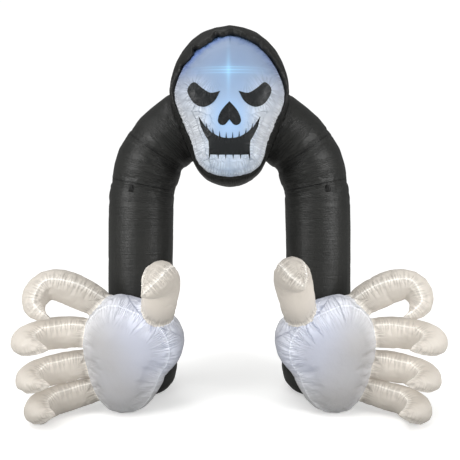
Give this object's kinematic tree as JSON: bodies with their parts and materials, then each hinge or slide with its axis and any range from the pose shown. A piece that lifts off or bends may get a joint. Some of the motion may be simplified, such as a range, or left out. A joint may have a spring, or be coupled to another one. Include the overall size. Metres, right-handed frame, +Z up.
{
  "type": "inflatable arch",
  "caption": "Free-standing inflatable fabric arch: black tube legs, a hooded skull over the passage, and open white hands at the feet.",
  "frame": {"origin": "on the floor, at the middle of the footprint", "axes": "+Z up, +X across the passage, -Y the front that the skull faces"},
  "size_m": [2.9383, 1.1832, 2.758],
  "materials": {
    "black_fabric": "black coated polyester taffeta with a soft sheen",
    "white_fabric": "translucent white polyester taffeta, puckered at the seams",
    "face_fabric": "translucent white polyester taffeta lit bluish from inside",
    "patch_fabric": "black taffeta appliqued to the face"
  },
  "bodies": {
    "root": {"eye_left": "patch_fabric", "eye_right": "patch_fabric", "gore_lower_left": "black_fabric", "gore_lower_right": "black_fabric", "gore_upper_left": "black_fabric", "gore_upper_right": "black_fabric", "hood": "black_fabric", "hood_brim": "black_fabric", "index_left": "white_fabric", "index_right": "white_fabric", "leg_left": "black_fabric", "leg_right": "black_fabric", "little_left": "white_fabric", "little_right": "white_fabric", "middle_left": "white_fabric", "middle_right": "white_fabric", "mouth": "patch_fabric", "nose": "patch_fabric", "palm_back_left": "white_fabric", "palm_back_right": "white_fabric", "palm_front_left": "white_fabric", "palm_front_right": "white_fabric", "ring_left": "white_fabric", "ring_right": "white_fabric", "skull_face": "face_fabric", "skull_gusset": "face_fabric", "tether_tab_left": "black_fabric", "tether_tab_right": "black_fabric", "thumb_left": "white_fabric", "thumb_right": "white_fabric"}
  },
  "joints": []
}
